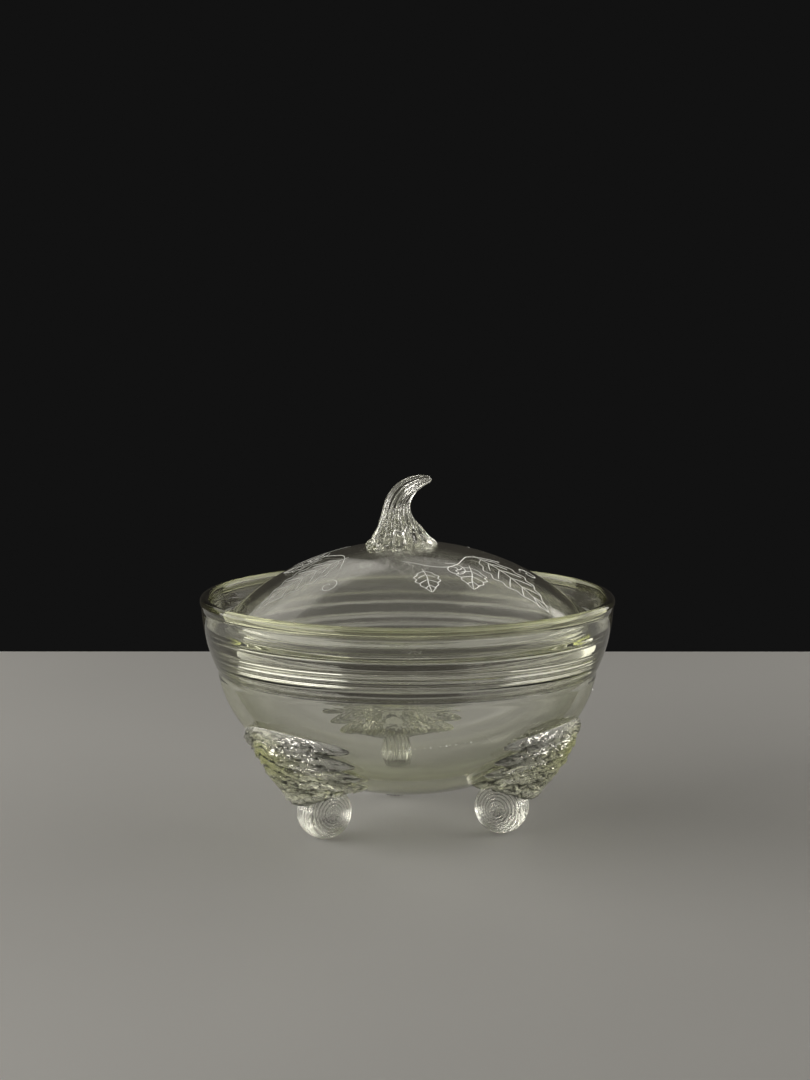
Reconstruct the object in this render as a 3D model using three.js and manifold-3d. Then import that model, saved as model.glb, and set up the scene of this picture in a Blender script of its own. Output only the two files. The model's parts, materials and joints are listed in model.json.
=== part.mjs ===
// A covered glass bowl on three leaf-and-scroll feet, with an inset domed lid and a stem handle.
// Millimetres, +Z up. The origin is on the table under the bowl's axis, and the front is -Y.
import * as THREE from "three";
import { mergeVertices } from "three/addons/utils/BufferGeometryUtils.js";
import Module from "manifold-3d";

const wasm = await Module();
wasm.setup();

// Driving dimensions
const RIM_RADIUS = 80;
const RIM_HEIGHT = 88.6; // centre of the rim bead above the table
const BOWL_BOTTOM = 14;
const LID_TOP = 110.4;
const GLASS_GAP = 0.3; // between pieces that touch
const FEET = { front_left: 210, front_right: 330, back: 90 }; // degrees about +Z from +X

// Bowl wall
const BEAD_RADIUS = 2;
const UPPER_WALL = 3.2;
const LOWER_WALL = 4.4;
const COLLAR_TOP_RADIUS = 79.4;
const COLLAR_CURVE = 0.0086; // the collar draws in by this times its drop squared
const LEDGE_DROP = 11; // the lid's seat below the rim
const LEDGE_INNER_RADIUS = 67;
const LEDGE_DEPTH = 5; // of its plain inner face
const COLLAR_DROP = 25.5; // where the thick collar ends below the rim
const UNDER_BEAD = 3; // where the collar meets the rim bead
const BODY_CENTRE = RIM_HEIGHT - 22; // centre of the elliptical lower body
const BODY_RADIUS = 73.6;
const BODY_DEPTH = BODY_CENTRE - BOWL_BOTTOM;

// Lid
const LID_RADIUS = 71;
const LID_WALL = 3;
const LID_SPHERE = 101;
const LID_SEAT_INNER = 68;
const LID_EDGE_ROUND = 0.7;

// Scroll feet
const SCROLL_RADIUS = 10.6;
const SCROLL_HALF_WIDTH = 5.2;
const SCROLL_RIBS = 4;
const RIB_DEPTH = 0.35;
const FOOT_FLAT_CUT = 0.4; // ground off the underside
const SCROLL_BULGE = 1.2; // how much smaller the ends are than the middle
const BOSS_RISE = 1.8; // how far the scroll's eye stands out of its ends
const SCROLL_REACH = 39.4; // from the bowl's axis to the scroll's axis
const SCROLL_STEPS = 24;

// Stem handle: [offset towards +X, rise above the lid's pole, radius] along its spine
const STEM = [
  [-1.3, -2, 13.6],
  [-1.6, 4, 10.4],
  [-3.6, 11, 5.5],
  [-2.8, 17, 4.4],
  [2.2, 22.6, 3.2],
  [9.4, 25.3, 1],
];
const STEM_STEPS = 14;
const FLUTES = 10;
const FLUTE_SHARE = 0.07; // of the stem's radius

// Leaf brackets
const LEAF_HALF_ANGLE = 37; // at the widest lobes
const LEAF_EDGE = 2.2; // thickness at the lobes
const LEAF_SINK = 1; // how far inside the bowl the leaf's blank starts before it is cut
const LEAF_TOP = 46.5;
const LEAF_END_ANGLE = 53; // how far round the body's ellipse the leaf runs
const LEAF_SWELL = [0.08, 0.88]; // the part of a half wave that shapes its width
const LEAF_SCALLOPS = 3.5; // down each side
const SCALLOP_SHARE = 0.13; // of the leaf's half width
const MIDRIB_SPREAD = 9;
const KNEE = [
  [68, 46.5],
  [68, 41],
  [65.6, 34],
  [60, 25.5],
  [51.5, 15],
]; // [radius, height] down the crest of the midrib
const LEAF_ROWS = 18;
const LEAF_COLUMNS = 12;

const TURN_STEPS = 48; // a multiple of 12, so every foot meets the same facets
const GLASS = { roughness: 0.04, metalness: 0, transparent: true };

const rad = THREE.MathUtils.degToRad;
const point = (r, z) => new THREE.Vector2(r, z);

function arc(centreR, centreZ, radiusR, radiusZ, fromDegrees, toDegrees, steps) {
  const clockwise = toDegrees < fromDegrees;
  const from = rad(fromDegrees);
  const to = rad(toDegrees);
  return new THREE.EllipseCurve(centreR, centreZ, radiusR, radiusZ, from, to, clockwise).getPoints(steps);
}

// A solid of revolution about +Z from (radius, height) points that run up the outside.
function turned(points) {
  return new THREE.LatheGeometry(points, TURN_STEPS).rotateX(Math.PI / 2);
}

function solid(geometry) {
  const bare = geometry.clone();
  bare.deleteAttribute("normal");
  bare.deleteAttribute("uv");
  const merged = mergeVertices(bare, 1e-4);
  const vertProperties = new Float32Array(merged.attributes.position.array);
  const triVerts = new Uint32Array(merged.index.array);
  return new wasm.Manifold(new wasm.Mesh({ numProp: 3, vertProperties, triVerts }));
}

function geometryOf(made) {
  const { vertProperties, triVerts } = made.getMesh();
  const geometry = new THREE.BufferGeometry();
  geometry.setAttribute("position", new THREE.BufferAttribute(vertProperties, 3));
  geometry.setIndex(new THREE.BufferAttribute(triVerts, 1));
  geometry.computeVertexNormals();
  return geometry;
}

function glassMesh(name, geometry, color, opacity) {
  const mesh = new THREE.Mesh(geometry, new THREE.MeshStandardMaterial({ ...GLASS, color, opacity }));
  mesh.name = name;
  return mesh;
}

// The collar's outside radius at a drop below the rim.
const collarRadius = (drop) => COLLAR_TOP_RADIUS - COLLAR_CURVE * drop ** 2;

// The bowl's outside from the bottom pole to just under the rim bead, grown outwards by a margin.
function bowlOutside(margin) {
  const body = arc(0, BODY_CENTRE, BODY_RADIUS + margin, BODY_DEPTH + margin, -90, -5, 14);
  const collar = Array.from({ length: 5 }, (_, i) => {
    const drop = THREE.MathUtils.lerp(COLLAR_DROP, UNDER_BEAD, i / 4);
    return point(collarRadius(drop) + margin, RIM_HEIGHT - drop);
  });
  return [...body, ...collar];
}

// A one-piece bowl: thin curved wall above, a thick ledged collar, and a deep elliptical body.
function bowlGeometry() {
  const bead = arc(RIM_RADIUS - BEAD_RADIUS, RIM_HEIGHT, BEAD_RADIUS, BEAD_RADIUS, -60, 210, 9);
  const ledgeHeight = RIM_HEIGHT - LEDGE_DROP;
  const wallInner = collarRadius(LEDGE_DROP) - UPPER_WALL;
  const seat = [
    point(wallInner, ledgeHeight + 1),
    point(wallInner - 1, ledgeHeight),
    point(LEDGE_INNER_RADIUS + 1, ledgeHeight),
    point(LEDGE_INNER_RADIUS, ledgeHeight - 1),
    point(LEDGE_INNER_RADIUS, ledgeHeight - LEDGE_DEPTH),
  ];
  const inside = arc(0, BODY_CENTRE, BODY_RADIUS - LOWER_WALL, BODY_DEPTH - LOWER_WALL, -5, -90, 12);
  return turned([...bowlOutside(0), ...bead, ...seat, ...inside]);
}

const LID_CENTRE = LID_TOP - LID_SPHERE;
const sphereHeight = (radius, r) => LID_CENTRE + Math.sqrt(radius ** 2 - r ** 2);

// The top of the lid's dome, from its rolled edge in to the pole, grown outwards by a margin.
function lidDome(radius, edgeRadius, steps) {
  const edgeAngle = THREE.MathUtils.radToDeg(Math.acos(edgeRadius / radius));
  return arc(0, LID_CENTRE, radius, radius, edgeAngle, 90, steps);
}

// A shallow dome with a thickened flat-bottomed edge that sits on the bowl's ledge.
function lidGeometry() {
  const seatHeight = RIM_HEIGHT - LEDGE_DROP + GLASS_GAP;
  const shoulder = LID_RADIUS - LID_EDGE_ROUND;
  const underside = lidDome(LID_SPHERE - LID_WALL, LID_SEAT_INNER - 1, 7).reverse();
  const edge = [
    point(LID_SEAT_INNER, seatHeight),
    point(shoulder, seatHeight),
    point(LID_RADIUS, seatHeight + LID_EDGE_ROUND),
    point(LID_RADIUS, sphereHeight(LID_SPHERE, shoulder) - LID_EDGE_ROUND),
  ];
  return turned([...underside, ...edge, ...lidDome(LID_SPHERE, shoulder, 8)]);
}

// A fluted stem that flares at its foot and curls over towards +X.
function handleGeometry() {
  const spine = new THREE.CatmullRomCurve3(
    STEM.map(([x, rise]) => new THREE.Vector3(x, 0, LID_TOP + rise)),
  );
  const girth = new THREE.SplineCurve(STEM.map(([, , radius], i) => point(i, radius)));
  const stem = new THREE.CylinderGeometry(1, 1, 1, 4 * FLUTES, STEM_STEPS);
  const place = stem.attributes.position;
  const side = new THREE.Vector3(0, 1, 0);
  for (let i = 0; i < place.count; i++) {
    const along = place.getY(i) + 0.5;
    const spread = Math.hypot(place.getX(i), place.getZ(i));
    const angle = Math.atan2(place.getZ(i), place.getX(i));
    const flute = 1 + FLUTE_SHARE * Math.cos(FLUTES * angle);
    const reach = spread * girth.getPoint(along).y * flute;
    const across = new THREE.Vector3().crossVectors(side, spine.getTangent(along));
    const spot = spine
      .getPoint(along)
      .addScaledVector(across, reach * Math.cos(angle))
      .addScaledVector(side, -reach * Math.sin(angle));
    place.setXYZ(i, spot.x, spot.y, spot.z);
  }
  const domeTop = lidDome(LID_SPHERE + GLASS_GAP, LID_SEAT_INNER, 8);
  const domeBlank = solid(turned([point(0, 0), point(LID_SEAT_INNER, 0), ...domeTop]));
  return geometryOf(solid(stem).subtract(domeBlank));
}

// A barrel scroll about the local Y axis, ribbed along its roll, with bossed ends.
function scrollGeometry(margin) {
  const halfWidth = SCROLL_HALF_WIDTH + margin;
  const steps = 2 * SCROLL_RIBS;
  const barrel = Array.from({ length: steps + 1 }, (_, i) => {
    const share = (2 * i) / steps - 1;
    const groove = i % 2 === 0 ? RIB_DEPTH : 0;
    return point(SCROLL_RADIUS + margin - SCROLL_BULGE * share ** 2 - groove, halfWidth * share);
  });
  const boss = (side) =>
    [0, 0.3, 0.6].map((share) => {
      const rise = BOSS_RISE * (1 - share ** 2);
      return point(SCROLL_RADIUS * share, side * (halfWidth + rise));
    });
  const profile = [...boss(-1), ...barrel, ...boss(1).reverse()];
  const height = SCROLL_RADIUS - FOOT_FLAT_CUT;
  return new THREE.LatheGeometry(profile, SCROLL_STEPS).translate(SCROLL_REACH, 0, height);
}

function scrollFootGeometry() {
  const side = 6 * SCROLL_RADIUS;
  const aboveTable = new THREE.BoxGeometry(side, side, side).translate(SCROLL_REACH, 0, side / 2);
  return geometryOf(solid(scrollGeometry(0)).intersect(solid(aboveTable)));
}

// Half the leaf's width as an angle about the bowl's axis, scalloped, from its top (0) to its end (1).
function leafHalfTurn(down) {
  const envelope = Math.sqrt(Math.sin(Math.PI * THREE.MathUtils.lerp(...LEAF_SWELL, down)));
  const scallop = 1 - SCALLOP_SHARE * Math.abs(Math.cos(Math.PI * LEAF_SCALLOPS * down));
  return rad(LEAF_HALF_ANGLE) * envelope * scallop;
}

// A leaf that hugs the bowl, swelling to a knee along its midrib and ending over the scroll.
function leafGeometry() {
  const topAngle = Math.asin((BODY_CENTRE - LEAF_TOP) / BODY_DEPTH);
  const knee = new THREE.SplineCurve(KNEE.map(([r, z]) => point(r, z)));
  const leaf = new THREE.BoxGeometry(1, 1, 1, LEAF_ROWS, LEAF_COLUMNS, 1);
  const place = leaf.attributes.position;
  for (let i = 0; i < place.count; i++) {
    const down = place.getX(i) + 0.5;
    const across = 2 * place.getY(i);
    const outer = place.getZ(i) > 0;
    const angle = THREE.MathUtils.lerp(topAngle, rad(LEAF_END_ANGLE), down);
    const turn = leafHalfTurn(down) * across;
    const taper = 1 - across ** 4;
    const lift = outer ? LEAF_EDGE * (0.5 + 0.5 * taper) : -LEAF_SINK;
    const r = (BODY_RADIUS + lift) * Math.cos(angle);
    const z = BODY_CENTRE - (BODY_DEPTH + lift) * Math.sin(angle);
    const midrib = outer ? taper * Math.exp(-0.5 * ((r * turn) / MIDRIB_SPREAD) ** 2) : 0;
    const ridge = knee.getPoint(down);
    const reach = THREE.MathUtils.lerp(r, ridge.x, midrib);
    const height = THREE.MathUtils.lerp(z, ridge.y, midrib);
    place.setXYZ(i, reach * Math.cos(turn), reach * Math.sin(turn), height);
  }
  const bowlBlank = solid(turned([...bowlOutside(GLASS_GAP), point(0, RIM_HEIGHT - UNDER_BEAD)]));
  return geometryOf(solid(leaf).subtract(bowlBlank).subtract(solid(scrollGeometry(GLASS_GAP))));
}

const root = new THREE.Group();
root.add(glassMesh("bowl", bowlGeometry(), 0xe9f0e2, 0.3));
root.add(glassMesh("lid", lidGeometry(), 0xeef2ea, 0.25));
root.add(glassMesh("lid_handle", handleGeometry(), 0xf0f3ea, 0.45));

const leaf = leafGeometry();
const scroll = scrollFootGeometry();
for (const [place, degrees] of Object.entries(FEET)) {
  const foot = new THREE.Group();
  foot.rotation.z = rad(degrees);
  foot.add(glassMesh(`leaf_bracket_${place}`, leaf, 0xe4ecc4, 0.5));
  foot.add(glassMesh(`scroll_foot_${place}`, scroll, 0xeef2e4, 0.5));
  root.add(foot);
}

export default root;
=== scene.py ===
"""A covered glass bowl on three leaf-and-scroll feet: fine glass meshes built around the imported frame."""

import json
import math

import bpy
import bmesh
import numpy as np
from mathutils import Matrix, Vector, noise

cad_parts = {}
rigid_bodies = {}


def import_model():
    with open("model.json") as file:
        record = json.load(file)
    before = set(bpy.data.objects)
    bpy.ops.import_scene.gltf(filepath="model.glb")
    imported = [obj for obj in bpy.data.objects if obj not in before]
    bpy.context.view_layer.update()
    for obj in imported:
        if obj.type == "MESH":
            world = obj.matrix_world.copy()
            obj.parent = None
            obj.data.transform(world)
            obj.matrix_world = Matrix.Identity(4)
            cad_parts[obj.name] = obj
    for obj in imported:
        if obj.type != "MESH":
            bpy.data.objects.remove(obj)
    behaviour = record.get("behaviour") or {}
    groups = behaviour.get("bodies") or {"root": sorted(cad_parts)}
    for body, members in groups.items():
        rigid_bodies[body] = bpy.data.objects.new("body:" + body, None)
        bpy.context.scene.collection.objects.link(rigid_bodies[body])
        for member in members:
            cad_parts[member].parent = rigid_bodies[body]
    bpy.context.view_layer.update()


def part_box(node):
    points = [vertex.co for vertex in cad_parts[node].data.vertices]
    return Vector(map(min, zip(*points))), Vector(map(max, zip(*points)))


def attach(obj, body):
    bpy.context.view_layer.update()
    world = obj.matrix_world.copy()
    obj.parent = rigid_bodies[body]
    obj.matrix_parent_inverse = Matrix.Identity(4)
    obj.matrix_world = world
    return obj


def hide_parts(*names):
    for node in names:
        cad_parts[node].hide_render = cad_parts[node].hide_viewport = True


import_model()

MM = 0.001

# Places and sizes in metres, mostly read from the frame
BOWL_LOW, BOWL_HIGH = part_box("bowl")
LID_LOW, LID_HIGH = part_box("lid")
SCROLL_LOW, SCROLL_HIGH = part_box("scroll_foot_back")
BEAD_RADIUS = 2 * MM
RIM_RADIUS = BOWL_HIGH.x
RIM_HEIGHT = BOWL_HIGH.z - BEAD_RADIUS
BOWL_BOTTOM = BOWL_LOW.z
LID_RADIUS = LID_HIGH.x
LID_TOP = LID_HIGH.z
LID_SEAT = LID_LOW.z

# Bowl: a gently curved collar with the lid's ledge inside it, over a body that is half an ellipsoid
COLLAR_TOP_RADIUS = RIM_RADIUS - 0.6 * MM
COLLAR_CURVE = 8.6  # the collar draws in by this times its drop squared, per metre
COLLAR_DROP = 25.3 * MM
UPPER_WALL = 3.1 * MM
LOWER_WALL = 4.4 * MM
LEDGE_DROP = RIM_HEIGHT - LID_SEAT + 0.3 * MM
BODY_RADIUS = RIM_RADIUS - 6.4 * MM
BODY_CENTRE = RIM_HEIGHT - 22 * MM
BODY_DEPTH = BODY_CENTRE - BOWL_BOTTOM
TURN_STEPS = 256
ON_AXIS = 0.001 * MM

# Lid: a cap of a sphere
LID_SPHERE = 101 * MM
LID_WALL = 3 * MM
LID_CENTRE = LID_TOP - LID_SPHERE

# Feet: degrees about +Z from +X, and which side of each leaf is lifted, the one nearer the front
FEET = {"front_left": 210, "front_right": 330, "back": 90}
LEAF_LEAN = {"front_left": 1, "front_right": -1, "back": 0}
SCROLL_RADIUS = (SCROLL_HIGH.z - SCROLL_LOW.z) / 2
SCROLL_REACH = (SCROLL_LOW.y + SCROLL_HIGH.y) / 2
SCROLL_HALF_WIDTH = 5.2 * MM


def mesh_piece(name, points, faces, body, nodes, slot, material, shares=None):
    """One smooth closed piece that rides on a body, takes a finish and may stand for CAD nodes.

    shares gives the material a named value from 0 to 1 for every point: the groove share is painted shade,
    how darkly the point is painted as lying in a groove or hollow, and "thick" how much glass lies behind
    it.
    """
    mesh = bpy.data.meshes.new(name)
    mesh.from_pydata([tuple(p) for p in points], [], faces)
    shell = bmesh.new()
    shell.from_mesh(mesh)
    bmesh.ops.recalc_face_normals(shell, faces=shell.faces)
    if shell.calc_volume(signed=True) < 0:
        bmesh.ops.reverse_faces(shell, faces=shell.faces)
    shell.to_mesh(mesh)
    shell.free()
    mesh.shade_smooth()
    piece = bpy.data.objects.new(name, mesh)
    bpy.context.scene.collection.objects.link(piece)
    mesh.materials.append(material)
    for share_name, values in (shares or {}).items():
        share = mesh.attributes.new(share_name, "FLOAT", "POINT")
        share.data.foreach_set("value", np.asarray(values, float).ravel())
    if nodes:
        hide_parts(*nodes)
    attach(piece, body)


def skin(rings):
    """Points and faces of a closed surface through rings of points; a ring of one point is a pole."""
    starts = np.cumsum([0] + [len(r) for r in rings])
    faces = []
    for k in range(len(rings) - 1):
        a, b = int(starts[k]), int(starts[k + 1])
        count_a, count_b = len(rings[k]), len(rings[k + 1])
        count = max(count_a, count_b)
        for i in range(count):
            j = (i + 1) % count
            if count_a == 1:
                faces.append((a, b + i, b + j))
            elif count_b == 1:
                faces.append((a + j, a + i, b))
            else:
                faces.append((a + i, b + i, b + j, a + j))
    return np.vstack(rings), faces


def arc(centre, radii, start, end, steps):
    """Points (radius, height) on an elliptical arc between two angles in degrees."""
    angles = np.radians(np.linspace(start, end, steps + 1))
    return [(centre[0] + radii[0] * math.cos(a), centre[1] + radii[1] * math.sin(a)) for a in angles]


def spline(knots, steps):
    """Evenly stepped points on a Catmull-Rom curve through knots of any dimension."""
    k = np.asarray(knots, float)
    k = np.vstack([2 * k[0] - k[1], k, 2 * k[-1] - k[-2]])
    spans = len(k) - 3
    out = []
    for s in np.linspace(0, spans, steps + 1):
        i = min(int(s), spans - 1)
        t = s - i
        a, b, c, d = k[i : i + 4]
        bend = (2 * a - 5 * b + 4 * c - d) * t**2 + (3 * (b - c) + d - a) * t**3
        out.append(0.5 * (2 * b + (c - a) * t + bend))
    return np.array(out)


def turned(profile, ripple, seed=0.0):
    """A surface of revolution between two points on the axis, gently uneven as blown glass is."""
    angles = np.linspace(0, 2 * math.pi, TURN_STEPS, endpoint=False)
    rings = []
    for r, z in profile:
        if r < ON_AXIS:
            rings.append(np.array([[0, 0, z]]))
            continue
        ring = np.column_stack([r * np.cos(angles), r * np.sin(angles), np.full(TURN_STEPS, z)])
        for p in ring:
            wobble = noise.noise(Vector(p) * 38 + Vector((seed, 0, 0)))
            p[:2] *= 1 + ripple * (wobble - 0.5) / r
        rings.append(ring)
    return skin(rings)


# ---------------------------------------------------------------- materials


def node(tree, kind, **values):
    """A shader node with its inputs or its own settings given by name."""
    made = tree.nodes.new(kind)
    for key, value in values.items():
        if key in made.inputs:
            made.inputs[key].default_value = value
        else:
            setattr(made, key, value)
    return made


MIX_FROM, MIX_TO, MIX_RESULT = 6, 7, 2  # the colour sockets of a Mix node


def ramp(tree, amount, low, high):
    """A colour between two, by an amount from 0 to 1."""
    colour = node(tree, "ShaderNodeValToRGB")
    colour.color_ramp.elements[0].color = (*low, 1)
    colour.color_ramp.elements[1].color = (*high, 1)
    tree.links.new(amount, colour.inputs["Fac"])
    return colour.outputs["Color"]


def shift_colour(tree, colour, amount, operation, number, target):
    """Take a colour towards another by an amount, first multiplied by or raised to a number."""
    share = node(tree, "ShaderNodeMath", operation=operation)
    share.inputs[1].default_value = number
    tree.links.new(amount, share.inputs[0])
    mix = node(tree, "ShaderNodeMix", data_type="RGBA")
    mix.inputs[MIX_TO].default_value = (*target, 1)
    tree.links.new(share.outputs["Value"], mix.inputs["Factor"])
    tree.links.new(colour, mix.inputs[MIX_FROM])
    return mix.outputs[MIX_RESULT]


def shift_by_share(tree, colour, share_name, depth, target):
    """Take a colour towards another by a value that the piece's points carry."""
    value = node(tree, "ShaderNodeAttribute", attribute_name=share_name)
    return shift_colour(tree, colour, value.outputs["Fac"], "MULTIPLY", depth, target)


def tint_edges(tree, colour, edge_colour):
    """Deepen a colour where the wall turns edge-on and the eye looks through more glass."""
    facing = node(tree, "ShaderNodeLayerWeight", Blend=0.5)
    return shift_colour(tree, colour, facing.outputs["Facing"], "POWER", EDGE_FALLOFF, edge_colour)


def add_bump(tree, height, strength, distance):
    """Roughen a material's surface by a height texture."""
    bump = node(tree, "ShaderNodeBump", Strength=strength, Distance=distance)
    tree.links.new(height, bump.inputs["Height"])
    tree.links.new(bump.outputs["Normal"], tree.nodes["Principled BSDF"].inputs["Normal"])


YELLOW_GREEN = (0.84, 0.87, 0.35)
OLIVE = (0.42, 0.46, 0.07)
THICK_GLASS = (0.76, 0.8, 0.26)
# painted shade: the near-black that the grooves and hollows of tooled glass are painted towards
PAINTED_GROOVE_SHADE = (0.01, 0.011, 0.007)
EDGE_FALLOFF = 2.6


def glass(name, tint, density, ripple=0.15, ripple_scale=60, haze=0.02,
          groove_shade_depth=0.0, milk=0.0, index=1.5, edge=None):
    """Clear soda glass: tinted by thickness, with faint tooling ripples and a patchy polish.

    Its groove setting gives how dark painted shade makes its grooves and hollows, milk how much light its
    surface scatters back, and edge its colour seen edge-on.
    """
    material = bpy.data.materials.new(name)
    material.use_nodes = True
    tree = material.node_tree
    shader = tree.nodes["Principled BSDF"]
    output = tree.nodes["Material Output"]
    shader.inputs["Transmission Weight"].default_value = 1 - milk
    shader.inputs["IOR"].default_value = index
    place = node(tree, "ShaderNodeTexCoord")

    mottle = node(tree, "ShaderNodeTexNoise", Scale=ripple_scale, Detail=4)
    tree.links.new(place.outputs["Object"], mottle.inputs["Vector"])
    surface = ramp(tree, mottle.outputs["Fac"], (0.965, 0.97, 0.945), (1, 1, 0.995))
    surface = shift_by_share(tree, surface, "thick", 1, THICK_GLASS)
    # painted shade darkens the grooves and hollows of the tooled pieces
    if groove_shade_depth:
        surface = shift_by_share(tree, surface, "hollow", groove_shade_depth, PAINTED_GROOVE_SHADE)
    if edge:
        surface = tint_edges(tree, surface, edge)
    tree.links.new(surface, shader.inputs["Base Color"])

    polish = node(tree, "ShaderNodeMapRange")
    polish.inputs["To Min"].default_value = 0
    polish.inputs["To Max"].default_value = haze
    tree.links.new(mottle.outputs["Fac"], polish.inputs["Value"])
    tree.links.new(polish.outputs["Result"], shader.inputs["Roughness"])

    waves = node(tree, "ShaderNodeTexNoise", Scale=ripple_scale * 1.7, Detail=2)
    tree.links.new(place.outputs["Object"], waves.inputs["Vector"])
    add_bump(tree, waves.outputs["Fac"], ripple, 0.4 * MM)

    body = node(tree, "ShaderNodeVolumeAbsorption", Density=density)
    body.inputs["Color"].default_value = (*tint, 1)
    tree.links.new(body.outputs["Volume"], output.inputs["Volume"])
    return material


def frosted(name):
    """A white surface that scatters light, for wheel-engraved lines and for seeds in the wall."""
    material = bpy.data.materials.new(name)
    material.use_nodes = True
    tree = material.node_tree
    shader = tree.nodes["Principled BSDF"]
    place = node(tree, "ShaderNodeTexCoord")
    grit = node(tree, "ShaderNodeTexNoise", Scale=2500, Detail=4)
    tree.links.new(place.outputs["Object"], grit.inputs["Vector"])
    colour = ramp(tree, grit.outputs["Fac"], (0.85, 0.87, 0.84), (1, 1, 0.99))
    tree.links.new(colour, shader.inputs["Base Color"])
    shader.inputs["Roughness"].default_value = 0.55
    add_bump(tree, grit.outputs["Fac"], 0.6, 0.05 * MM)
    return material


BOWL_GLASS = glass("bowl_glass", YELLOW_GREEN, 7, ripple=0.08, ripple_scale=40, haze=0.03, edge=OLIVE)
LID_GLASS = glass("lid_glass", YELLOW_GREEN, 12, ripple=0.06, ripple_scale=35, haze=0.1)
HANDLE_GLASS = glass("handle_glass", (0.9, 0.92, 0.7), 5, ripple_scale=160, groove_shade_depth=0.8)
LEAF_GLASS = glass("leaf_glass", YELLOW_GREEN, 13, ripple_scale=260, groove_shade_depth=1, milk=0.1, index=1.65)
SCROLL_GLASS = glass("scroll_glass", (0.88, 0.9, 0.6), 8, ripple_scale=200, groove_shade_depth=0.9, milk=0.04)
FROST = frosted("engraved_frost")


# ---------------------------------------------------------------- bowl and lid


def collar_radius(drop):
    """The collar's outer radius at a drop below the rim."""
    return COLLAR_TOP_RADIUS - COLLAR_CURVE * drop**2


def bowl_profile():
    """Up the outside, over the rim bead, across the stepped ledge and down the inside.

    With it comes how thick the glass looks at each of its points.
    """
    body = arc((0, BODY_CENTRE), (BODY_RADIUS, BODY_DEPTH), -90, -6.5, 56)
    body[0] = (0, BOWL_BOTTOM)
    groove = [(BODY_RADIUS - 0.9 * MM, RIM_HEIGHT - COLLAR_DROP - 1.1 * MM)]
    collar = [(collar_radius(COLLAR_DROP) - 0.15 * MM, RIM_HEIGHT - COLLAR_DROP)]
    drops = np.linspace(COLLAR_DROP - 0.6 * MM, 2.6 * MM, 24)
    collar += [(collar_radius(d), RIM_HEIGHT - d) for d in drops]
    bead_centre = (RIM_RADIUS - BEAD_RADIUS, RIM_HEIGHT)
    bead = arc(bead_centre, (BEAD_RADIUS, BEAD_RADIUS), -42, 225, 26)
    drops = np.linspace(3.4 * MM, LEDGE_DROP - 2.4 * MM, 5)
    upper = [(collar_radius(d) - UPPER_WALL, RIM_HEIGHT - d) for d in drops]
    ledge = RIM_HEIGHT - LEDGE_DROP
    wall = collar_radius(LEDGE_DROP) - UPPER_WALL
    fillet = arc((wall - 1.6 * MM, ledge + 1.6 * MM), (1.6 * MM, 1.6 * MM), 0, -90, 8)
    rings = [
        (67.9, -11.0), (67.25, -11.35), (67.0, -12.0), (67.0, -14.6), (67.3, -15.5), (68.2, -16.2),
        (69.3, -16.6), (69.75, -17.1), (69.3, -17.6), (68.7, -18.1), (68.45, -18.9), (68.6, -19.8),
        (69.3, -20.4), (69.75, -20.9), (69.4, -21.4), (68.95, -22.1), (68.85, -23.4), (68.95, -24.8),
    ]  # [radius, height above the rim] of the tooled rings inside the collar, in millimetres
    tooled = [(r * MM, RIM_HEIGHT + z * MM) for r, z in spline(rings, 51)]
    inner = (BODY_RADIUS - LOWER_WALL, BODY_DEPTH - LOWER_WALL)
    inside = arc((0, BODY_CENTRE), inner, -8, -90, 56)
    inside[-1] = (0, BOWL_BOTTOM + LOWER_WALL)
    profile = body + groove + collar + bead + upper + fillet + tooled + inside
    thick = [0.0] * len(body + groove + collar) + [0.4] * len(bead)
    return profile, thick + [0.0] * (len(profile) - len(thick))


def lid_profile():
    """From the pole under the dome, round the thick flat-bottomed edge and back over the top."""
    shoulder = LID_RADIUS - 1.4 * MM
    under = LID_SPHERE - LID_WALL
    seat_inner = 67.6 * MM
    start = math.degrees(math.acos((seat_inner - 2 * MM) / under))
    underside = arc((0, LID_CENTRE), (under, under), 90, start, 48)
    underside[0] = (0, LID_TOP - LID_WALL)
    top_angle = math.degrees(math.acos(shoulder / LID_SPHERE))
    top = arc((0, LID_CENTRE), (LID_SPHERE, LID_SPHERE), top_angle, 90, 52)
    top[-1] = (0, LID_TOP)
    low_turn = arc((LID_RADIUS - 1.1 * MM, LID_SEAT + 1.1 * MM), (1.1 * MM, 1.1 * MM), -90, 0, 6)
    high_centre = (LID_RADIUS - 1.3 * MM, top[0][1] - 1.2 * MM)
    high_turn = arc(high_centre, (1.3 * MM, 1.3 * MM), 0, 70, 5)
    foot = arc((seat_inner + 0.8 * MM, LID_SEAT + 0.8 * MM), (0.8 * MM, 0.8 * MM), 190, 270, 5)
    return underside + foot + low_turn + high_turn + top


def dome_height(r):
    """The height of the lid's top at a radius."""
    return LID_CENTRE + math.sqrt(LID_SPHERE**2 - r * r)


def bowl_and_lid():
    profile, thickness = bowl_profile()
    per_ring = [1 if r < ON_AXIS else TURN_STEPS for r, z in profile]
    shares = {"thick": np.repeat(thickness, per_ring)}
    bowl = turned(profile, 0.12 * MM)
    lid = turned(lid_profile(), 0.06 * MM, seed=5.0)
    mesh_piece("glass_bowl", *bowl, "bowl", ["bowl"], "bowl_glass", BOWL_GLASS, shares)
    mesh_piece("glass_lid", *lid, "lid", ["lid"], "lid_glass", LID_GLASS)


bowl_and_lid()


# ---------------------------------------------------------------- seed bubbles

SEEDS = 160
GOLDEN_ANGLE = 137.508
CLEAR_OF_FOOT = 46  # degrees round the bowl
ABOVE_LEAVES = 14  # degrees down the body


def ball_mesh(radius):
    """A small ball about the origin."""
    around = np.linspace(0, 2 * math.pi, 10, endpoint=False)
    rings = [np.array([[0, 0, -radius]])]
    for latitude in np.radians([-60, -30, 0, 30, 60]):
        flat = radius * math.cos(latitude)
        height = np.full(len(around), radius * math.sin(latitude))
        rings.append(np.column_stack([flat * np.cos(around), flat * np.sin(around), height]))
    rings.append(np.array([[0, 0, radius]]))
    return skin(rings)


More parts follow.
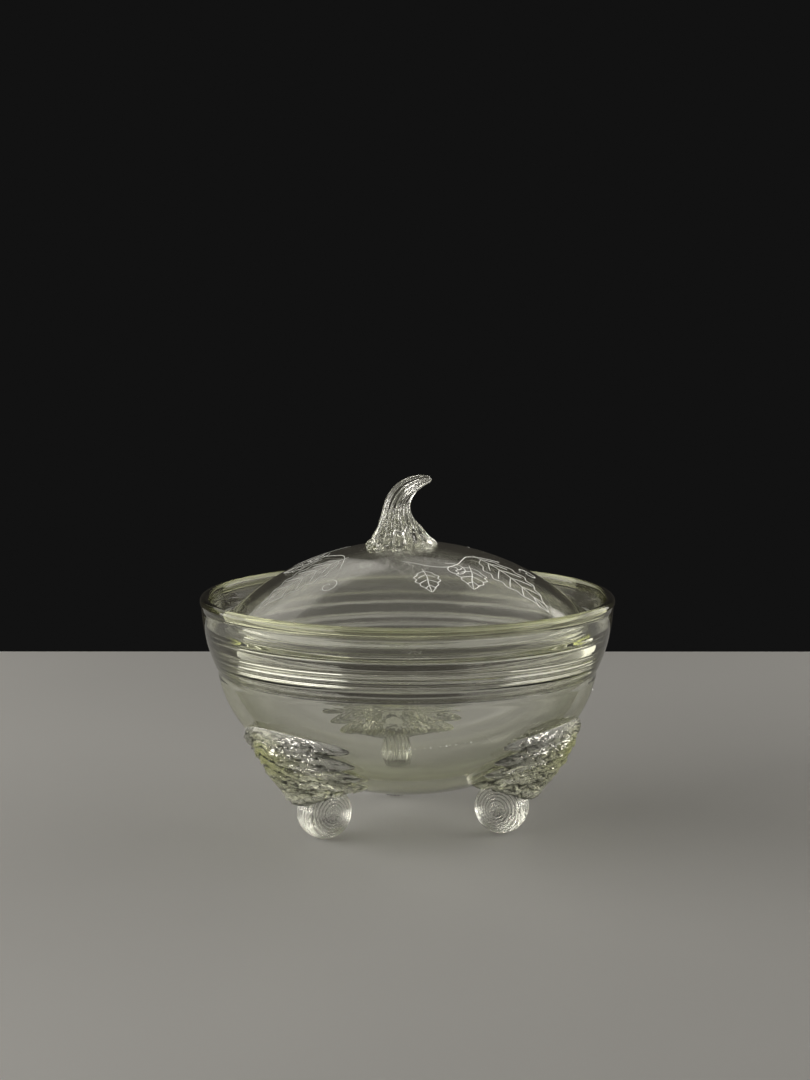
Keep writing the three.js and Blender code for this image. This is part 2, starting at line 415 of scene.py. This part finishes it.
def seed_bubbles():
    """Small seeds of several sizes that break the outside of the bowl's wall, clear of the feet."""
    points, faces = [], []
    for k in range(SEEDS):
        degrees = k * GOLDEN_ANGLE % 360
        degrees_down = 12 + 48 * (k * 0.618 % 1.0)
        from_foot = min(abs((degrees - foot + 180) % 360 - 180) for foot in FEET.values())
        if from_foot < CLEAR_OF_FOOT and degrees_down > ABOVE_LEAVES:
            continue
        turn, angle = math.radians(degrees), math.radians(degrees_down)
        radius = (0.16 + 0.22 * (k * 0.377 % 1.0) ** 2) * MM
        r = BODY_RADIUS * math.cos(angle)
        z = BODY_CENTRE - BODY_DEPTH * math.sin(angle)
        centre = Vector((r * math.cos(turn), r * math.sin(turn), z))
        ball, ball_faces = ball_mesh(radius)
        base = len(points)
        points += [tuple(centre + Vector(p)) for p in ball]
        faces += [tuple(base + i for i in face) for face in ball_faces]
    mesh_piece("bowl_seeds", points, faces, "bowl", (), "bowl_glass", FROST)


seed_bubbles()


# ---------------------------------------------------------------- stem handle

# [offset towards +X, rise above the lid's pole, radius], in millimetres, up the stem's spine
STEM = [
    (-2.4, -2.4, 12.8),
    (-2.5, -0.6, 12.5),
    (-2.8, 1.4, 11.6),
    (-3.5, 4.6, 9.3),
    (-4.1, 8.0, 7.1),
    (-4.2, 11.8, 5.5),
    (-3.6, 15.4, 4.7),
    (-1.9, 18.9, 4.1),
    (1.0, 21.7, 3.4),
    (4.6, 23.5, 2.5),
    (8.2, 24.3, 1.3),
]
FLUTES = 15


def handle_rings():
    """The stem's fluted sections along its spine, and how much painted shade each of their points takes in
    the flute grooves.
    """
    path = spline(STEM, 130) * MM
    around = np.linspace(0, 2 * math.pi, FLUTES * 16, endpoint=False)
    rings, painted_shades = [], [[0.0]]
    for k, (x, rise, radius) in enumerate(path):
        t = k / (len(path) - 1)
        before, after = path[max(k - 1, 0)], path[min(k + 1, len(path) - 1)]
        tangent = Vector((after[0] - before[0], 0, after[1] - before[1])).normalized()
        upright = max(0.0, 1 - max(rise, 0) / (11 * MM))
        tangent = tangent.lerp(Vector((0, 0, 1)), upright).normalized()
        across = Vector((0, 1, 0)).cross(tangent)
        turn = around + 0.45 * t
        rib = np.abs(np.sin(FLUTES * turn / 2)) ** 0.75
        groove = 1 - (0.17 + 0.05 * math.sin(9 * t)) * (1 - rib)
        crinkle = 0.1 * math.exp(-((t / 0.2) ** 2)) * np.sin(FLUTES * turn + 34 * t)
        spots = [Vector((math.cos(a) * 2, math.sin(a) * 2, t * 4)) for a in around]
        wander = np.array([noise.noise(spot) for spot in spots])
        reach = radius * (groove + crinkle) * (1 + 0.05 * wander) * 1.03
        centre = Vector((x, 0, LID_TOP + rise))
        ring = [
            centre + across * (d * math.cos(a)) + Vector((0, -1, 0)) * (d * math.sin(a))
            for a, d in zip(around, reach)
        ]
        rings.append(np.array([tuple(p) for p in ring]))
        # painted shade in the flute grooves and the crinkles at the base, fading out towards the tip
        painted_shades.append(np.clip(1 - 1.6 * rib - 2 * crinkle, 0, 1) * min(1.0, (1 - t) / 0.1))
    middle = rings[-1].mean(0)
    cap = [
        middle + (rings[-1] - middle) * math.cos(turn) + np.array([1.1 * MM * math.sin(turn), 0, 0])
        for turn in (0.5, 0.95, 1.3)
    ]
    tip = middle + np.array([1.15 * MM, 0, 0])
    base = rings[0].mean(0)
    painted_shades.append(np.zeros(len(around) * len(cap) + 1))
    return [base[None, :]] + rings + cap + [tip[None, :]], np.concatenate(painted_shades)


def handle():
    rings, painted_shades = handle_rings()
    shares = {"hollow": painted_shades}
    mesh_piece("stem_handle", *skin(rings), "lid", ["lid_handle"], "handle_glass", HANDLE_GLASS, shares)


handle()


# ---------------------------------------------------------------- feet

LEAF_TOP = 46.5 * MM
LEAF_SHOULDER = 9 * MM  # how much lower the leaf's top corners sit than its middle
LEAF_TILT = 5.5 * MM  # how much a leaning leaf's top rises towards one corner
LEAF_HALF_TURNS = (34, 34, 34, 34, 33)  # half the leaf's width in degrees, evenly spaced from top to tip
LEAF_END_ANGLE = math.radians(55)
LEAF_EDGE = 2.0 * MM
LEAF_GAP = 0.15 * MM
MIDRIB_SPREAD = 8.5 * MM
KNEE = np.array([(68, 46.5), (68.3, 41.5), (66.6, 35), (61, 25.5), (52, 15)]) * MM
LOBES = 3.6
LOBE_SLANT = 0.3  # how far down the leaf a lobe's tip hangs below its root
LEAF_ROWS, LEAF_COLUMNS = 220, 168


def leaf_phase(down, side):
    """Which lobe a place on the leaf belongs to, and how far across that lobe it is."""
    return LOBES * (down - LOBE_SLANT * side) + 1.35


def leaf_half_turn(down):
    """Half the leaf's width as an angle, notched between its lobes."""
    width = np.interp(down, np.linspace(0, 1, len(LEAF_HALF_TURNS)), LEAF_HALF_TURNS)
    lobe = math.sin(math.pi * (leaf_phase(down, 1.0) % 1.0) ** 1.6) ** 0.6
    return math.radians(width) * (0.74 + 0.28 * lobe)


def leaf_relief(down, across, seed):
    """Height above the plain leaf of its lobes, leaflets and overlapping scales, and the painted shade of
    their hollows.
    """
    side = abs(across)
    phase = leaf_phase(down, side)
    lobe = math.sin(math.pi * (phase % 1.0) ** 1.6) ** 0.6
    wander = noise.noise(Vector((down * 9, across * 5, seed)))
    leaflet = abs(math.sin(math.pi * (2 * phase + 1.1 * wander)))
    step = (8 * side + 0.9 * leaflet + 1.6 * wander) % 1.0
    tooled = noise.noise(Vector((down * 26, across * 15, seed)))
    rough = noise.noise(Vector((down * 70, across * 42, seed + 7)))
    rib_step = (8 * down + 0.25 * math.cos(2 * math.pi * across / 0.4)) % 1.0
    reach = min(1.0, side / 0.18)
    relief = reach * (1.0 * lobe + 0.9 * leaflet**0.5 - 0.75 * step)
    relief += (1 - reach) * (1.1 - 0.6 * rib_step)
    # painted shade: darkest between leaflets, under the scales' steps, between lobes, along the midrib's
    # cross ribs and in the low spots of the tooling
    hollow = reach * max(1.2 - leaflet / 0.3, (step - 0.66) / 0.2, 1 - 2 * lobe)
    hollow += (1 - reach) * (rib_step - 0.7) / 0.2
    hollow += 1.6 * max(0.0, -tooled) + 0.8 * max(0.0, -rough)
    return (relief + 0.7 * tooled + 0.4 * rough - 0.4) * MM, min(max(hollow, 0.0), 1.0)


def leaf_points(seed, lean):
    """Grids of points on the leaf's outer and inner skins, and the shares its material reads."""
    knee = spline(KNEE, LEAF_ROWS)
    outer, inner, painted_shades, thick = [], [], [], []
    for i in range(LEAF_ROWS + 1):
        down = i / LEAF_ROWS
        half_turn = leaf_half_turn(down)
        for j in range(LEAF_COLUMNS + 1):
            across = 2 * j / LEAF_COLUMNS - 1
            turn = half_turn * across
            towards = lean * across
            top = LEAF_TOP + LEAF_TILT * towards - LEAF_SHOULDER * across**2 * (1 - 0.25 * towards)
            top_angle = math.asin((BODY_CENTRE - top) / BODY_DEPTH)
            angle = top_angle + (LEAF_END_ANGLE - top_angle) * down
            taper = 1 - abs(across) ** 7
            ends = min(1.0, down / (0.06 + 0.25 * across**2 * (1 - towards)))
            relief, hollow = leaf_relief(down, across, seed)
            relief *= taper * ends
            # painted shade of the relief, and a band of painted shade along the leaf's lower end
            painted_shades.append(max(hollow * ends, (down - 0.97) / 0.03))
            thick.append(0.95 * math.exp(-((across / 0.3) ** 2) - ((down - 0.45) / 0.35) ** 2))
            curl = 0.8 * MM * abs(across) ** 3 * taper * down
            lift = LEAF_EDGE * (0.2 + 0.8 * taper * (0.4 + 0.6 * ends)) + relief + curl
            r = (BODY_RADIUS + lift) * math.cos(angle)
            z = BODY_CENTRE - (BODY_DEPTH + lift) * math.sin(angle)
            spread = math.exp(-0.5 * ((r * turn) / MIDRIB_SPREAD) ** 2) * taper
            lip = 0.9 * MM * math.exp(-(((down - 0.96) / 0.025) ** 2))
            reach = r + spread * (knee[i][0] + 0.6 * relief + lip - r)
            height = z + spread * (knee[i][1] - 0.5 * relief - z)
            outer.append((reach * math.cos(turn), reach * math.sin(turn), height))
            r = (BODY_RADIUS + LEAF_GAP) * math.cos(angle)
            z = BODY_CENTRE - (BODY_DEPTH + LEAF_GAP) * math.sin(angle)
            inner.append((r * math.cos(turn), r * math.sin(turn), z))
    bare = [0.0] * len(inner)
    return outer, inner, {"hollow": painted_shades + bare, "thick": thick + bare}


def leaf_mesh(seed, lean):
    """The leaf's outer and inner skins and the walls that join their borders."""
    outer, inner, shares = leaf_points(seed, lean)
    rows, columns = LEAF_ROWS + 1, LEAF_COLUMNS + 1
    shift = rows * columns
    faces = []
    for i in range(rows - 1):
        for j in range(columns - 1):
            a, b = i * columns + j, (i + 1) * columns + j
            faces.append((a, a + 1, b + 1, b))
            faces.append((shift + a, shift + b, shift + b + 1, shift + a + 1))
    border = list(range(columns))
    border += [i * columns + columns - 1 for i in range(1, rows)]
    border += [(rows - 1) * columns + j for j in range(columns - 2, -1, -1)]
    border += [i * columns for i in range(rows - 2, 0, -1)]
    for a, b in zip(border, border[1:] + border[:1]):
        faces.append((a, b, shift + b, shift + a))
    return np.array(outer + inner), faces, shares


EYE_RADIUS = 2.7 * MM
COIL_PITCH = 1.25 * MM


def scroll_face(radius, side, around):
    """One ring on a scroll's end, where a spiral cord winds in to a raised eye, and the painted shade on
    it.
    """
    share = radius / (SCROLL_RADIUS - 1.2 * MM)
    dome = 1.8 * MM * (1 - share**2)
    coil = radius / COIL_PITCH - side * around / (2 * math.pi)
    cord = np.abs(np.sin(math.pi * coil))
    if radius > EYE_RADIUS:
        grown = min(1.0, (radius - EYE_RADIUS) / (0.6 * MM)) * min(1.0, (1 - share) / 0.06 + 0.25)
        relief = grown * (0.7 * MM * cord**0.6 - 0.5 * MM)
        # painted shade between the turns of the cord
        hollow = np.clip(1.25 - 2.5 * cord, 0, 1) * grown
    else:
        relief = 0.5 * MM * math.sqrt(1 - (radius / EYE_RADIUS) ** 2) + 0.12 * MM * np.cos(9 * around)
        # painted shade on one side of each of the eye's ridges
        hollow = 0.5 * np.clip(np.sin(9 * around), 0, 1)
    y = side * (SCROLL_HALF_WIDTH + dome + relief - 0.5 * MM)
    return np.column_stack([radius * np.cos(around), y + 0 * around, radius * np.sin(around)]), hollow


def scroll_rings():
    """A coiled, ribbed scroll about the local Y axis: spiral cords on both ends, ribs round the roll,
    painted shade between them.
    """
    around = np.linspace(0, 2 * math.pi, 180, endpoint=False)
    face_radii = np.linspace(0.3 * MM, SCROLL_RADIUS - 1.25 * MM, 74)
    pole = SCROLL_HALF_WIDTH + 1.8 * MM
    near = [scroll_face(r, -1, around) for r in face_radii]
    far = [scroll_face(r, 1, around) for r in face_radii[::-1]]
    roll = []
    for y in np.linspace(-1, 1, 57):
        cord = abs(math.sin(math.pi * 3.5 * y))
        edge = 0.35 * MM * max(0.0, (abs(y) - 0.9) / 0.1)
        r = SCROLL_RADIUS - 0.55 * MM - 1.0 * MM * y * y + 0.5 * MM * cord**0.6 - edge
        ring = [r * np.cos(around), np.full(len(around), y * SCROLL_HALF_WIDTH), r * np.sin(around)]
        # painted shade between the roll's ribs
        roll.append((np.column_stack(ring), np.full(len(around), max(0.0, 1.0 - 2.5 * cord))))
    ends = [(np.array([[0, side * pole, 0]]), np.zeros(1)) for side in (-1, 1)]
    sections = ends[:1] + near + roll + far + ends[1:]
    return [ring for ring, _ in sections], np.concatenate([hollow for _, hollow in sections])


def turned_about_z(points, degrees):
    """Points turned about the bowl's axis."""
    return np.asarray(points) @ np.array(Matrix.Rotation(math.radians(degrees), 3, "Z")).T


def leaf(place, degrees):
    outline, faces, shares = leaf_mesh(degrees * 0.1, LEAF_LEAN[place])
    points = turned_about_z(outline, degrees)
    name, stands_for = f"glass_leaf_{place}", [f"leaf_bracket_{place}"]
    mesh_piece(name, points, faces, "bowl", stands_for, "leaf_glass", LEAF_GLASS, shares)


def scroll(place, degrees):
    rings, painted_shades = scroll_rings()
    outline, faces = skin(rings)
    points = turned_about_z(outline + np.array([SCROLL_REACH, 0, SCROLL_RADIUS]), degrees)
    name, stands_for = f"glass_scroll_{place}", [f"scroll_foot_{place}"]
    shares = {"hollow": painted_shades}
    mesh_piece(name, points, faces, "bowl", stands_for, "scroll_glass", SCROLL_GLASS, shares)


for foot, direction in FEET.items():
    leaf(foot, direction)
    scroll(foot, direction)


# ---------------------------------------------------------------- lid engraving

LINE_WIDTH = 0.4 * MM
LINE_RISE = 0.09 * MM
LINE_SINK = 0.02 * MM
SPRAYS = 3
FIRST_SPRAY = -33  # degrees from +X


def on_dome(x, y):
    """A place on the lid's top, from plan offsets in millimetres."""
    x, y = x * MM, y * MM
    return Vector((x, y, dome_height(math.hypot(x, y))))


def stroke(knots, steps):
    """A thin closed half-round thread along a curve on the dome, from plan points in millimetres."""
    path = [on_dome(x, y) for x, y in spline(knots, steps)]
    centre = Vector((0, 0, LID_CENTRE))
    rings = []
    for k, p in enumerate(path):
        ahead = path[min(k + 1, len(path) - 1)] - path[max(k - 1, 0)]
        up = (p - centre).normalized()
        side = up.cross(ahead).normalized()
        taper = math.sin(math.pi * (0.12 + 0.76 * k / steps)) ** 0.5
        half = 0.5 * LINE_WIDTH * taper
        ring = []
        for turn in np.radians([0, 45, 90, 135, 180, 270]):
            lift = LINE_RISE * math.sin(turn) + 0.01 * MM if turn <= math.pi else -LINE_SINK
            ring.append(p + side * (half * math.cos(turn)) + up * lift)
        rings.append(np.array([tuple(q) for q in ring]))
    start, end = rings[0].mean(0), rings[-1].mean(0)
    return [start[None, :]] + rings + [end[None, :]]


def plan(origin, heading, ahead, aside):
    """A plan point given as ahead and aside of an origin along a heading in degrees."""
    a = math.radians(heading)
    x = origin[0] + ahead * math.cos(a) - aside * math.sin(a)
    y = origin[1] + ahead * math.sin(a) + aside * math.cos(a)
    return x, y


def polar(r, degrees):
    """A plan point given by its radius and its angle from +X."""
    return r * math.cos(math.radians(degrees)), r * math.sin(math.radians(degrees))


def leaf_strokes(origin, heading, length, width, teeth, veins):
    """The outline, midrib and side veins of one pointed, toothed leaf."""
    strokes = []
    for side in (-1, 1):
        edge = []
        for k in range(teeth * 2 + 1):
            s = k / (teeth * 2)
            swell = math.sin(math.pi * s**0.75) * (1.0 if k % 2 else 0.8)
            edge.append(plan(origin, heading, length * s, side * width * swell))
        strokes.append((edge, teeth * 8))
        for k in range(1, veins + 1):
            s = k / (veins + 1)
            swell = side * width * math.sin(math.pi * s**0.75)
            root = plan(origin, heading, length * (s - 0.06), 0)
            bend = plan(origin, heading, length * (s + 0.03), 0.45 * swell)
            tip = plan(origin, heading, length * (s + 0.10), 0.75 * swell)
            strokes.append(([root, bend, tip], 8))
    midrib = [plan(origin, heading, length * s, 0.3 * math.sin(6 * s)) for s in (-0.12, 0.3, 0.65, 1.0)]
    strokes.append((midrib, 16))
    return strokes


def tendril(origin, heading, size, turns):
    """A thread that winds in to a curl."""
    points = []
    for k in range(15):
        s = k / 14
        a = turns * 2 * math.pi * s
        r = size * (1 - 0.8 * s)
        points.append(plan(origin, heading, size - r * math.cos(a), r * math.sin(a)))
    return points, 42


def engraving_strokes():
    """A trailing vine right round the lid: leaves of three sizes hung on a wavy stem with tendrils."""
    strokes = []
    for k in range(SPRAYS):
        turn = FIRST_SPRAY + 360 * k / SPRAYS
        vine = []
        for s in np.linspace(0, 1, 9):
            r = 27 + 9 * math.sin(2 * math.pi * s) * s + 9 * s
            vine.append(polar(r, turn - 68 + 80 * s))
        strokes.append((vine, 48))
        strokes += leaf_strokes(polar(31, turn), turn - 14, 32, 9.5, 6, 5)
        strokes += leaf_strokes(polar(35, turn - 22), turn - 60, 15, 6, 5, 3)
        strokes += leaf_strokes(polar(35, turn - 54), turn - 50, 13, 5, 5, 3)
        strokes.append(tendril(polar(30, turn - 36), turn - 20, 5, 1.4))
        strokes.append(tendril(polar(44, turn + 14), turn + 60, 4, 1.2))
    return strokes


def engraving():
    points, faces = [], []
    for knots, steps in engraving_strokes():
        stroke_points, stroke_faces = skin(stroke(knots, steps))
        base = len(points)
        points += [tuple(p) for p in stroke_points]
        faces += [tuple(base + i for i in face) for face in stroke_faces]
    mesh_piece("lid_engraving", points, faces, "lid", (), "lid_glass", FROST)


engraving()


# ---------------------------------------------------------------- stage, lights and camera

VIEW_SWING = math.radians(-6.8)  # how far the view is turned about the bowl from straight in front
CAMERA_DISTANCE = 0.764
CAMERA_RISE = 122.4 * MM  # above the rim
CAMERA_DIP = math.radians(7.44)
CAMERA_YAW = math.radians(0.07)
LENS = 66.7
FLOOR_HALF_WIDTH = 0.6
FLOOR_FRONT, FLOOR_BACK = -0.7, 0.36
WARM_WHITE = (1, 0.965, 0.9)
ROOM_SEEN_IN_GLASS = (0.035, 0.032, 0.027)
ROOM_SEEN_DIRECTLY = (0.006, 0.006, 0.006)
MIDDLE = (0, 0, 0.06)
TOOLED = ("glass_leaf", "glass_scroll", "stem_handle")
CUT = ("lid_engraving", "bowl_seeds")


def stage_floor():
    """A pale matt table top with a faint mottle, ending a little way behind the bowl."""
    mesh = bpy.data.meshes.new("table_top")
    front = [(-FLOOR_HALF_WIDTH, FLOOR_FRONT, 0), (FLOOR_HALF_WIDTH, FLOOR_FRONT, 0)]
    back = [(FLOOR_HALF_WIDTH, FLOOR_BACK, 0), (-FLOOR_HALF_WIDTH, FLOOR_BACK, 0)]
    corners = [Matrix.Rotation(VIEW_SWING, 3, "Z") @ Vector(c) for c in front + back]
    mesh.from_pydata(corners, [], [(0, 1, 2, 3)])
    floor = bpy.data.objects.new("table_top", mesh)
    bpy.context.scene.collection.objects.link(floor)
    material = bpy.data.materials.new("pale_table")
    material.use_nodes = True
    tree = material.node_tree
    shader = tree.nodes["Principled BSDF"]
    mottle = node(tree, "ShaderNodeTexNoise", Scale=6, Detail=3)
    colour = ramp(tree, mottle.outputs["Fac"], (0.7, 0.7, 0.69), (0.76, 0.76, 0.75))
    tree.links.new(colour, shader.inputs["Base Color"])
    shader.inputs["Roughness"].default_value = 0.4
    shader.inputs["Specular IOR Level"].default_value = 0.1
    mesh.materials.append(material)


def soft_box(name, place, aim, width, height, radiance, lights_floor=True, only=None):
    """A rectangular light that the camera doesn't see.

    It can be hidden from the matt surfaces, such as the floor, or kept to a collection of pieces.
    """
    light = bpy.data.lights.new(name, "AREA")
    light.shape = "RECTANGLE"
    light.size = width
    light.size_y = height
    light.energy = radiance * math.pi * width * height
    light.color = WARM_WHITE
    box = bpy.data.objects.new(name, light)
    bpy.context.scene.collection.objects.link(box)
    box.location = place
    box.rotation_euler = (Vector(aim) - Vector(place)).to_track_quat("-Z", "Y").to_euler()
    box.visible_camera = False
    box.visible_diffuse = lights_floor
    if only:
        box.light_linking.receiver_collection = only


def pieces_named(name, prefixes):
    """A collection of pieces that a light can be kept to."""
    chosen = bpy.data.collections.new(name)
    for piece in bpy.data.objects:
        if piece.name.startswith(prefixes):
            chosen.objects.link(piece)
    return chosen


def studio():
    """A dark room: a soft box on each side, a soft ceiling, a card behind and two sparkle lights."""
    world = bpy.data.worlds.new("studio")
    world.use_nodes = True
    tree = world.node_tree
    direct = node(tree, "ShaderNodeLightPath")
    room = node(tree, "ShaderNodeMix", data_type="RGBA")
    room.inputs[MIX_FROM].default_value = (*ROOM_SEEN_IN_GLASS, 1)
    room.inputs[MIX_TO].default_value = (*ROOM_SEEN_DIRECTLY, 1)
    tree.links.new(direct.outputs["Is Camera Ray"], room.inputs["Factor"])
    tree.links.new(room.outputs[MIX_RESULT], tree.nodes["Background"].inputs["Color"])
    bpy.context.scene.world = world
    soft_box("left_box", (-0.95, -0.05, 0.36), MIDDLE, 1.7, 0.66, 2.6)
    soft_box("right_box", (0.95, 0.1, 0.36), MIDDLE, 1.6, 0.66, 1.5)
    soft_box("ceiling", (0, 0.5, 1.2), (0, 0.5, 0), 2.4, 2.2, 0.4, lights_floor=False)
    soft_box("back_card", (-0.42, 0.9, 0.78), MIDDLE, 0.8, 0.6, 0.6, lights_floor=False)
    tooled = pieces_named("tooled_pieces", TOOLED)
    tooled_and_cut = pieces_named("tooled_and_cut_pieces", TOOLED + CUT)
    soft_box("left_sparkle", (-0.6, -0.3, 0.22), MIDDLE, 0.3, 0.36, 14, only=tooled)
    soft_box("right_sparkle", (0.6, -0.25, 0.22), MIDDLE, 0.3, 0.36, 14, only=tooled_and_cut)
    bpy.context.scene.view_settings.view_transform = "Standard"
    cycles = bpy.context.scene.cycles
    cycles.max_bounces = 28
    cycles.transmission_bounces = 28
    cycles.glossy_bounces = 8


def camera():
    """A look at the bowl from a little above its rim."""
    data = bpy.data.cameras.new("camera")
    data.sensor_fit = "VERTICAL"
    data.sensor_height = 36
    data.lens = LENS
    data.clip_start = 0.01
    eye = bpy.data.objects.new("camera", data)
    bpy.context.scene.collection.objects.link(eye)
    towards = Vector((math.sin(VIEW_SWING), -math.cos(VIEW_SWING), 0))
    place = towards * CAMERA_DISTANCE + Vector((0, 0, RIM_HEIGHT + CAMERA_RISE))
    yaw = Matrix.Rotation(VIEW_SWING + CAMERA_YAW, 4, "Z")
    tilt = Matrix.Rotation(math.pi / 2 - CAMERA_DIP, 4, "X")
    eye.matrix_world = Matrix.Translation(place) @ yaw @ tilt
    bpy.context.scene.camera = eye


stage_floor()
studio()
camera()
